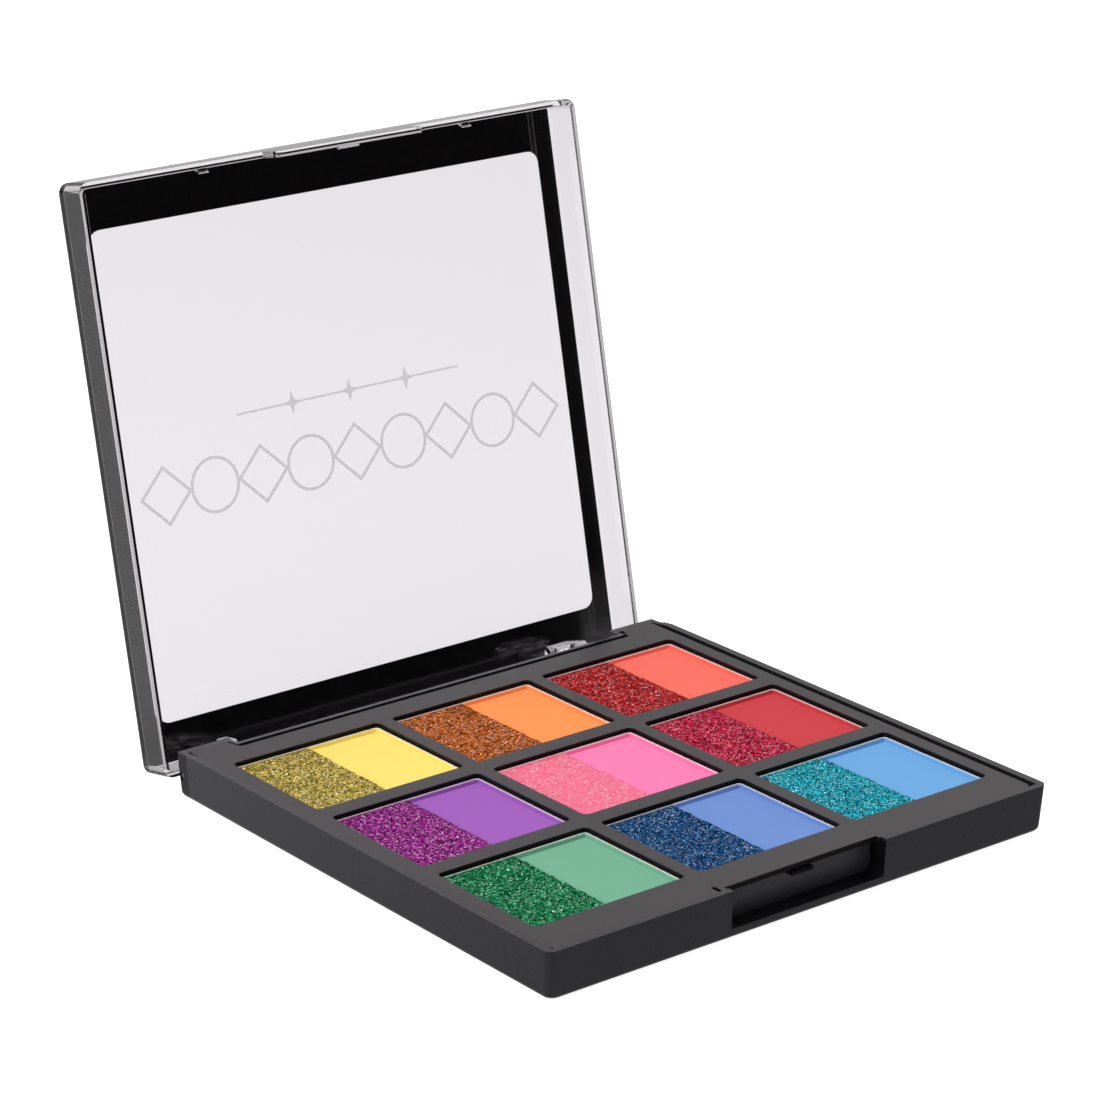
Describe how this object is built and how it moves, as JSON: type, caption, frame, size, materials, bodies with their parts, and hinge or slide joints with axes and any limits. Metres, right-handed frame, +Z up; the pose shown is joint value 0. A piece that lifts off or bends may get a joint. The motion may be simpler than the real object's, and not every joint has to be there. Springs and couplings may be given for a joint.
{
  "type": "eyeshadow palette",
  "caption": "Square flat eyeshadow palette: shallow dark tray with a framed grid of split colour pans, and a clear box lid with a printed border hinged at the rear.",
  "frame": {"origin": "on the underside of the tray, below the middle of the grid of pans", "axes": "+Z up, +Y from the finger recess at the front towards the hinge, +X to the right seen from the front"},
  "size_m": [0.12, 0.1519, 0.1175],
  "materials": {
    "tray_black": "satin moulded",
    "frame_black": "fine satin moulded",
    "pan_metal": "pressed sheet, bright",
    "pin_steel": "drawn wire",
    "lid_clear": "clear polished",
    "print_black": "screen-printed ink",
    "print_grey": "screen-printed ink",
    "glitter_rear_left": "pressed glitter",
    "matte_rear_left": "pressed powder",
    "glitter_rear_centre": "pressed glitter",
    "matte_rear_centre": "pressed powder",
    "glitter_rear_right": "pressed glitter",
    "matte_rear_right": "pressed powder",
    "glitter_middle_left": "pressed glitter",
    "matte_middle_left": "pressed powder",
    "glitter_middle_centre": "pressed glitter",
    "matte_middle_centre": "pressed powder",
    "glitter_middle_right": "pressed glitter",
    "matte_middle_right": "pressed powder",
    "glitter_front_left": "pressed glitter",
    "matte_front_left": "pressed powder",
    "glitter_front_centre": "pressed glitter",
    "matte_front_centre": "pressed powder",
    "glitter_front_right": "pressed glitter",
    "matte_front_right": "pressed powder"
  },
  "bodies": {
    "base": {"base_tray": "tray_black", "pan_frame": "frame_black", "pan_rear_left": "pan_metal", "glitter_rear_left": "glitter_rear_left", "matte_rear_left": "matte_rear_left", "pan_rear_centre": "pan_metal", "glitter_rear_centre": "glitter_rear_centre", "matte_rear_centre": "matte_rear_centre", "pan_rear_right": "pan_metal", "glitter_rear_right": "glitter_rear_right", "matte_rear_right": "matte_rear_right", "pan_middle_left": "pan_metal", "glitter_middle_left": "glitter_middle_left", "matte_middle_left": "matte_middle_left", "pan_middle_centre": "pan_metal", "glitter_middle_centre": "glitter_middle_centre", "matte_middle_centre": "matte_middle_centre", "pan_middle_right": "pan_metal", "glitter_middle_right": "glitter_middle_right", "matte_middle_right": "matte_middle_right", "pan_front_left": "pan_metal", "glitter_front_left": "glitter_front_left", "matte_front_left": "matte_front_left", "pan_front_centre": "pan_metal", "glitter_front_centre": "glitter_front_centre", "matte_front_centre": "matte_front_centre", "pan_front_right": "pan_metal", "glitter_front_right": "glitter_front_right", "matte_front_right": "matte_front_right", "hinge_pin_right": "pin_steel", "hinge_pin_left": "pin_steel"},
    "lid": {"lid_shell": "lid_clear", "lid_border_print": "print_black", "lid_ornament_band": "print_grey", "lid_ornament_crest": "print_grey"}
  },
  "joints": [
    {"name": "lid_hinge", "type": "hinge", "parent": "base", "child": "lid", "pos_m": [0, 0.058, 0.0044], "axis": [1, 0, 0], "range_deg": [0, 101.46]}
  ]
}
